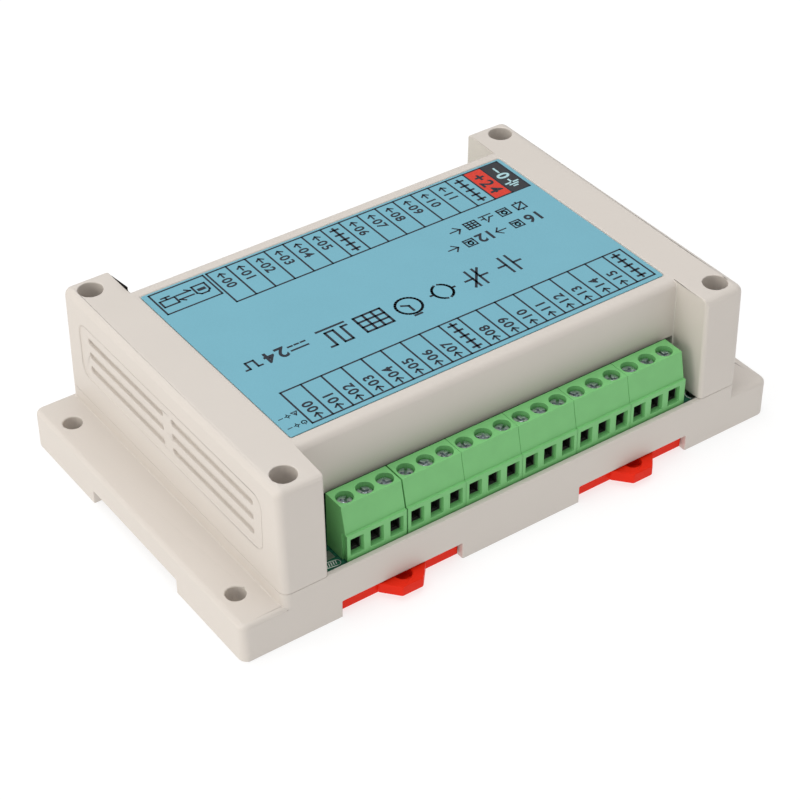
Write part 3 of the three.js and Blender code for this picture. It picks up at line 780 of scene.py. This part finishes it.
# Signs on a unit square, reading along +x: lists of strokes, each a run of points.
signs = {
    "into": [[(-0.45, 0), (0.4, 0)], [(0.05, 0.42), (0.42, 0), (0.05, -0.42)]],
    "outOf": [[(-0.4, 0), (0.45, 0)], [(-0.05, 0.42), (-0.42, 0), (-0.05, -0.42)]],
    "contact": [
        [(-0.43, 0), (-0.14, 0)], [(-0.14, 0.45), (-0.14, -0.45)],
        [(0.14, 0.45), (0.14, -0.45)], [(0.14, 0), (0.43, 0)],
    ],
    "closedContact": [
        [(-0.43, 0), (-0.14, 0)], [(-0.14, 0.45), (-0.14, -0.45)],
        [(0.14, 0.45), (0.14, -0.45)], [(0.14, 0), (0.43, 0)], [(-0.32, -0.42), (0.32, 0.42)],
    ],
    "coil": [
        [(-0.46, 0), (-0.34, 0)], [(0.34, 0), (0.46, 0)],
        arcPoints((0.08, 0), 0.42, 112, 248), arcPoints((-0.08, 0), 0.42, -68, 68),
    ],
    "timer": [
        arcPoints((0, 0.02), 0.44, 0, 360, 24), [(0, 0.02), (0, 0.3)], [(0, 0.02), (0.2, -0.1)],
        [(-0.12, 0.56), (0.12, 0.56)],
    ],
    "counter": [
        [(-0.5, 0.42), (0.5, 0.42), (0.5, -0.42), (-0.5, -0.42), (-0.5, 0.42)],
        [(-0.16, 0.42), (-0.16, -0.42)], [(0.16, 0.42), (0.16, -0.42)], [(-0.5, 0.14), (0.5, 0.14)],
        [(-0.5, -0.14), (0.5, -0.14)],
    ],
    "pulse": [
        [(-0.5, -0.3), (-0.3, -0.3), (-0.3, 0.42), (0, 0.42), (0, -0.3), (0.3, -0.3), (0.3, 0.42),
         (0.5, 0.42)],
        [(-0.5, -0.48), (0.5, -0.48)],
    ],
    "relayCoil": [
        [(-0.4, 0.4), (0.4, 0.4), (0.4, -0.4), (-0.4, -0.4), (-0.4, 0.4)], [(-0.4, -0.4), (0.4, 0.4)],
        [(0, 0.4), (0, 0.55)], [(0, -0.4), (0, -0.55)],
    ],
    "switch": [
        [(-0.5, -0.1), (-0.2, -0.1), (0.22, 0.4)], [(0.22, -0.1), (0.5, -0.1)],
        [(0.22, 0.12), (0.22, -0.3)], [(-0.5, -0.45), (0.5, -0.45)],
    ],
    "terminal": [
        [(-0.42, 0.42), (0.42, 0.42), (0.42, -0.42), (-0.42, -0.42), (-0.42, 0.42)],
        arcPoints((0, 0.08), 0.18, 0, 360, 16), [(-0.42, -0.2), (0.42, -0.2)],
    ],
    "rail": [[(-0.5, 0.3), (-0.25, 0.3), (-0.25, -0.3), (0.25, -0.3), (0.25, 0.3), (0.5, 0.3)]],
    "direct": [[(-0.5, 0.18), (0.5, 0.18)], [(-0.5, -0.18), (-0.28, -0.18)], [(-0.1, -0.18), (0.1, -0.18)],
               [(0.28, -0.18), (0.5, -0.18)]],
    "earth": [[(-0.5, 0), (-0.1, 0)], [(-0.1, 0.5), (-0.1, -0.5)], [(0.14, 0.32), (0.14, -0.32)],
              [(0.38, 0.14), (0.38, -0.14)]],
    "minus": [[(0, 0.38), (0, -0.38)]],
    "common": [[(-2.1, 0), (2.1, 0)]] + [[(x, -0.38), (x, 0.38)] for x in (-1.8, -0.9, 0, 0.9, 1.8)],
    "port": [
        [(-0.42, -0.45), (0.42, -0.45), (0.42, 0.25), (0.22, 0.45), (-0.22, 0.45), (-0.42, 0.25),
         (-0.42, -0.45)],
        [(-0.2, -0.05), (0.2, -0.05)], [(-0.2, 0.08), (0.2, 0.08)],
    ],
    "exchange": [
        [(-0.45, 0.22), (0.45, 0.22)], [(0.2, 0.44), (0.45, 0.22)],
        [(0.45, -0.22), (-0.45, -0.22)], [(-0.2, -0.44), (-0.45, -0.22)],
    ],
    "screen": [
        [(-0.48, 0.42), (0.48, 0.42), (0.48, -0.2), (-0.48, -0.2), (-0.48, 0.42)],
        [(0, -0.2), (0, -0.42)], [(-0.25, -0.44), (0.25, -0.44)],
    ],
    "power": [arcPoints((0, -0.05), 0.4, 130, 410, 16), [(0, 0.05), (0, 0.5)]],
    "fault": [[(-0.5, -0.4), (0.5, -0.4), (0, 0.5), (-0.5, -0.4)], [(0, 0.12), (0, -0.14)]],
    "lamp": [arcPoints((0, 0), 0.22, 0, 360, 12), [(-0.5, 0), (-0.36, 0)], [(0.36, 0), (0.5, 0)],
             [(0, 0.36), (0, 0.5)], [(0, -0.36), (0, -0.5)]],
}


def drawSign(work, name, centre, size, turn, weight):
    # strokes scaled to size and turned about the sign's middle; weight is their real width
    spin = Matrix.Rotation(math.radians(turn), 2)
    for stroke in signs[name]:
        run = [Vector(centre) + spin @ (Vector(point) * size) for point in stroke]
        for start, end in zip(run, run[1:]):
            flatBar(work, start, end, weight)


def drawNumber(work, text, centre, height, turn, pitch):
    # numerals side by side, reading along the turned x axis
    start = Matrix.Translation((centre[0], centre[1], 0)) @ Matrix.Rotation(math.radians(turn), 4, "Z")
    size = Matrix.Diagonal((height, height, 1, 1))
    for index, digit in enumerate(text):
        shift = (index - (len(text) - 1) / 2) * pitch
        place = start @ Matrix.Translation((shift, 0, 0)) @ size
        first = len(work.verts)
        work.from_mesh(digits[digit])
        work.verts.ensure_lookup_table()
        bmesh.ops.transform(work, matrix=place, verts=work.verts[first:])


def frameRow(work, span, cells, weight):
    left, right, low, high = span
    for y in (low, high):
        flatBar(work, (left, y), (right, y), weight)
    for index in range(cells + 1):
        x = left + (right - left) * index / cells
        flatBar(work, (x, low), (x, high), weight)


def laidOn(work, height, thickness):
    # gives a flat drawing its thickness and lays it at a height
    bmesh.ops.recalc_face_normals(work, faces=work.faces)
    for face in work.faces:
        if face.normal.z < 0:
            face.normal_flip()
    thick = bmesh.ops.extrude_face_region(work, geom=work.faces[:])["geom"]
    lifted = [v for v in thick if isinstance(v, bmesh.types.BMVert)]
    bmesh.ops.translate(work, vec=(0, 0, thickness), verts=lifted)
    bmesh.ops.recalc_face_normals(work, faces=work.faces)
    bmesh.ops.translate(work, vec=(0, 0, height), verts=work.verts)


def printLayer(work, name, look, level):
    sunk = 0.02
    laidOn(work, labelHigh.z - sunk, sunk + level)
    put(work, name, [look])


def labelPrint():
    grid = {
        "input": (-43.67, 48.67, -29.2, -16.87),
        "output": (-33.4, 48.8, 16.5, 29.67),
        "port": (-48.3, -34.3, 21.1, 29.67),
        "line": 0.46,
        "height": 2.6,
        "pitch": 2.0,
        "arrow": 2.35,
        "inputText": -25.35,
        "outputText": 24.75,
        "stroke": 0.44,
        "bold": 0.62,
    }
    ink = bmesh.new()
    red = bmesh.new()
    black = bmesh.new()
    pale = bmesh.new()

    frameRow(ink, grid["input"], 18, grid["line"])
    frameRow(ink, grid["output"], 16, grid["line"])
    frameRow(ink, grid["port"], 1, grid["line"])

    # input cells: eight numbers, the common, eight more, the common, read away from the clips
    left, right, low, high = grid["input"]
    cell = (right - left) / 18
    number = 0
    for index in range(18):
        x = left + (index + 0.5) * cell
        y = grid["inputText"]
        if index in (8, 17):
            drawSign(ink, "common", (x, (low + high) / 2), 2.5, 90, grid["bold"])
            continue
        drawSign(ink, "into", (x, y - grid["arrow"]), 2.1, 90, grid["stroke"])
        drawNumber(ink, f"{number:02d}", (x, y + grid["pitch"] / 2), grid["height"], 90, grid["pitch"])
        number += 1

    # output cells: six numbers, the common, six more, the common, then the supply's two poles
    left, right, low, high = grid["output"]
    cell = (right - left) / 16
    middle = (low + high) / 2
    number = 0
    for index in range(14):
        x = left + (index + 0.5) * cell
        y = grid["outputText"]
        if index in (6, 13):
            drawSign(ink, "common", (x, middle), 2.5, -90, grid["bold"])
            continue
        drawSign(ink, "outOf", (x, y + grid["arrow"]), 2.1, -90, grid["stroke"])
        drawNumber(ink, f"{number:02d}", (x, y - grid["pitch"] / 2), grid["height"], -90, grid["pitch"])
        number += 1
    for fill, index in ((red, 14), (black, 15)):
        x = left + (index + 0.5) * cell
        flatBar(fill, (x, low), (x, high), cell, False)
    x = left + 14.5 * cell
    drawNumber(ink, "+24", (x, middle), 3.5, -90, 3.2)
    x = left + 15.5 * cell
    drawSign(pale, "minus", (x, middle + 3.4), 2.6, 0, 0.5)
    drawNumber(pale, "0", (x, middle + 0.6), 3.4, -90, 3.2)
    drawSign(pale, "earth", (x, middle - 3.2), 3.4, -90, 0.5)

    # port box, read from the far side
    left, right, low, high = grid["port"]
    y = (low + high) / 2
    for sign, x in (("port", -37.2), ("exchange", -41.4), ("screen", -45.6)):
        drawSign(ink, sign, (x, y), 3.9, 180, 0.5)

    # title row of programming signs, then the supply and the rail, read from the far side
    for index, sign in enumerate(("contact", "closedContact", "coil", "timer", "counter", "pulse")):
        drawSign(ink, sign, (24.67 - index * 9.37, -6.8), 7.0, 180, 0.62)
    drawSign(ink, "direct", (-31.4, -5.1), 4.2, 180, 0.52)
    drawNumber(ink, "24", (-37.1, -5.1), 3.8, 180, 3.1)
    drawSign(ink, "rail", (-43.2, -5.1), 4.0, 180, 0.52)

    # two small rows: what switches, and how many
    for index, sign in enumerate(("relayCoil", "terminal", "switch", "counter", "outOf")):
        drawSign(ink, sign, (41.3 - index * 4.68, 10.9), 3.2, 180, 0.42)
    drawNumber(ink, "16", (41.2, 5.2), 3.5, 180, 2.5)
    drawSign(ink, "terminal", (36.2, 5.2), 3.1, 180, 0.4)
    drawSign(ink, "into", (31.4, 5.2), 3.1, 180, 0.4)
    drawNumber(ink, "12", (27.1, 5.2), 3.5, 180, 2.5)
    drawSign(ink, "terminal", (22.6, 5.2), 3.1, 180, 0.4)
    drawSign(ink, "outOf", (17.9, 5.2), 3.1, 180, 0.4)

    # signs for the two status lamps
    for row, sign in ((-28.0, "power"), (-24.4, "fault")):
        drawSign(ink, sign, (-44.9, row), 1.35, 180, 0.24)
        drawSign(ink, "lamp", (-46.7, row), 1.35, 180, 0.2)
        drawSign(ink, "minus", (-48.4, row), 1.2, 90, 0.24)

    printLayer(red, "label_print_red", "redInk", 0.008)
    printLayer(black, "label_print_black", "blackInk", 0.01)
    printLayer(ink, "label_print_dark", "ink", 0.016)
    printLayer(pale, "label_print_pale", "paleInk", 0.02)


film = copyOf("front_label")
put(film, "front_label_film", ["film"], "housing", ["front_label"], (0.08, 1))
labelPrint()
print("label printed")


def boardPrint():
    look = {"line": 0.18, "thick": 0.03}
    top = boardHigh.z
    work = bmesh.new()
    # a test pad's oval ring at the left end, hatched inside
    centre, turn = (-48.1, -41.15), -9
    spin = Matrix.Rotation(math.radians(turn), 2)
    oval = arcPoints((1.5, 0), 0.85, -90, 90) + arcPoints((-1.5, 0), 0.85, 90, 270)
    oval = [Vector(centre) + spin @ Vector(point) for point in oval]
    for start, end in zip(oval, oval[1:] + oval[:1]):
        flatBar(work, start, end, look["line"])
    for index in range(6):
        x = centre[0] - 1.4 + index * 0.56
        flatBar(work, (x - 0.12, centre[1] - 0.4), (x + 0.12, centre[1] + 0.4), 0.2)
    for x in (52.0, -52.0):
        flatRing(work, (x, -41.2), 1.55, look["line"])
        flatRing(work, (x, 41.2), 1.55, look["line"])
    # a straight line behind each terminal strip
    for side in (1, -1):
        flatBar(work, (-44, side * 34.6), (46, side * 34.6), look["line"])
    laidOn(work, top - 0.01, look["thick"])
    put(work, "board_legend", ["legend"])

    pads = bmesh.new()
    flatBar(pads, (-49.6, -38.55), (-45.9, -38.55), 2.5, False)
    flatBar(pads, (-49.6, 38.55), (-47.4, 38.55), 2.5, False)
    for x in (-50.2, 49.4):
        flatBar(pads, (x, -33.2), (x + 1.4, -33.2), 1.4, False)
    laidOn(pads, top - 0.01, 0.035)
    put(pads, "board_pads", ["tin"])


def smallParts():
    # surface-mounted resistors and capacitors in the clear strips of the board
    look = {"length": 2, "width": 1.25, "height": 0.55, "cap": 0.4}
    places = [(-49.5, -36.0, 90)]
    places += [(-48.6, 34.6, 0), (49.6, 36.5, 90), (49.6, 40.0, 90)]
    places += [(-40 + i * 4.6, 21.5, 90) for i in range(18)]
    places += [(-40 + i * 4.6, -33.0, 90) for i in range(18)]
    bodies = bmesh.new()
    ends = bmesh.new()
    for x, y, turn in places:
        spot = Matrix.Translation((x, y, boardHigh.z + 0.03)) @ Matrix.Rotation(math.radians(turn), 4, "Z")
        half = look["length"] / 2
        wide = look["width"] / 2
        inner = half - look["cap"]
        made = list(block(bodies, (-inner, -wide, 0), (inner, wide, look["height"])))
        bmesh.ops.transform(bodies, matrix=spot, verts=made)
        for side in (1, -1):
            near, far = sorted((side * (inner - 0.02), side * half))
            low, high = (near, -wide - 0.02, 0), (far, wide + 0.02, look["height"] + 0.03)
            made = list(block(ends, low, high))
            bmesh.ops.transform(ends, matrix=spot, verts=made)
    put(bodies, "small_part_bodies", ["chip"], edge=(0.06, 1))
    put(ends, "small_part_ends", ["tin"], edge=(0.06, 1))


def usbSocket():
    # pressed shell with a moulded tongue and four contacts
    low, high = nodeBox("usb_socket")
    work = copyOf("usb_socket")
    middle = (low.x + high.x) / 2
    level = (low.z + high.z) / 2
    for face in work.faces:
        spot = face.calc_center_median()
        onTongue = abs(spot.x - middle) < 2.85 and abs(spot.z - level) < 1.65
        if onTongue and high.y - 9.3 < spot.y < high.y - 0.4:
            face.material_index = 1
    looks = ["nickel", "insert"]
    put(work, "usb_socket_shell", looks, "housing", ["usb_socket"], (0.14, 2))
    contacts = bmesh.new()
    for side in (1, -1):
        for column in (1, -1):
            x = middle + column * 1.25
            z = level + side * 1.62
            block(contacts, (x - 0.5, high.y - 8.2, z - 0.05), (x + 0.5, high.y - 1.8, z + 0.05), 0.03, 1)
    put(contacts, "usb_contacts", ["gold"])


def boardParts():
    parts = {
        "circuit_board": ("laminate", "board", "board_laminate", (0.08, 1)),
        "relay_bank": ("cases", "relay", "relay_case", (0.3, 2)),
        "controller_chip": ("package", "chip", "chip_case", (0.12, 1)),
        "supply_capacitor": ("sleeved", "sleeve", "can_sleeve", (0.1, 2)),
    }
    for node, (ending, look, slotName, edge) in parts.items():
        put(copyOf(node), f"{node}_{ending}", [look], "housing", [node], edge)
    low, high = nodeBox("controller_chip")
    legs = bmesh.new()
    count = 16
    for side in range(4):
        turn = Matrix.Rotation(side * math.pi / 2, 4, "Z")
        centre = Matrix.Translation(((low.x + high.x) / 2, (low.y + high.y) / 2, boardHigh.z))
        for index in range(count):
            x = (index - (count - 1) / 2) * 0.8
            edge = (high.x - low.x) / 2
            made = list(block(legs, (x - 0.15, edge - 0.05, 0.45), (x + 0.15, edge + 0.5, 0.6)))
            made += list(block(legs, (x - 0.15, edge + 0.4, 0.02), (x + 0.15, edge + 0.55, 0.55)))
            made += list(block(legs, (x - 0.15, edge + 0.45, 0.02), (x + 0.15, edge + 1.0, 0.16)))
            bmesh.ops.transform(legs, matrix=centre @ turn, verts=made)
    put(legs, "controller_chip_legs", ["tin"])


boardParts()
boardPrint()
smallParts()
usbSocket()
print("board made")


def softLight(name, place, aim, size, power, colour=(1, 1, 1)):
    light = bpy.data.lights.new(name, "AREA")
    light.shape = "RECTANGLE"
    light.size = size[0]
    light.size_y = size[1]
    light.energy = power
    light.color = colour
    lamp = bpy.data.objects.new(name, light)
    bpy.context.scene.collection.objects.link(lamp)
    way = Vector(place) - Vector(aim)
    lamp.matrix_world = Matrix.Translation(place) @ way.to_track_quat("Z", "Y").to_matrix().to_4x4()


def studio():
    light = {"world": 0.44, "top": 8.4, "side": 4.8, "front": 0.5}
    middle = (0, 0, 0.02)
    softLight("top_light", (-0.1, 0.1, 1.1), middle, (1.1, 1.1), light["top"])
    softLight("side_light", (-1.1, 0.0, 0.28), middle, (0.8, 0.7), light["side"], (1.0, 0.95, 0.87))
    softLight("front_light", (0.2, -1.2, 0.5), middle, (0.9, 0.5), light["front"], (1.0, 0.9, 0.76))
    world = bpy.data.worlds.new("studio")
    world.use_nodes = True
    world.node_tree.nodes["Background"].inputs["Color"].default_value = (1, 1, 1, 1)
    world.node_tree.nodes["Background"].inputs["Strength"].default_value = light["world"]
    bpy.context.scene.world = world
    bpy.context.scene.view_settings.view_transform = "Standard"


def paleFloor():
    look = {"colour": (0.3, 0.3, 0.3, 1), "glow": 0.72, "half": 2.5, "gap": 0.02}
    fixed = {"Roughness": 0.9, "Base Color": look["colour"], "Emission Strength": look["glow"]}
    material, shader = blank("floor_paper", fixed)[:2]
    shader.inputs["Emission Color"].default_value = (1, 1, 1, 1)
    work = bmesh.new()
    flat = Matrix.Translation((0, 0, (trayLow.z - look["gap"]) * mm))
    bmesh.ops.create_grid(work, x_segments=1, y_segments=1, size=look["half"], matrix=flat)
    mesh = bpy.data.meshes.new("floor")
    work.to_mesh(mesh)
    work.free()
    mesh.materials.append(material)
    floor = bpy.data.objects.new("floor", mesh)
    bpy.context.scene.collection.objects.link(floor)


studio()
paleFloor()
print("studio lit")
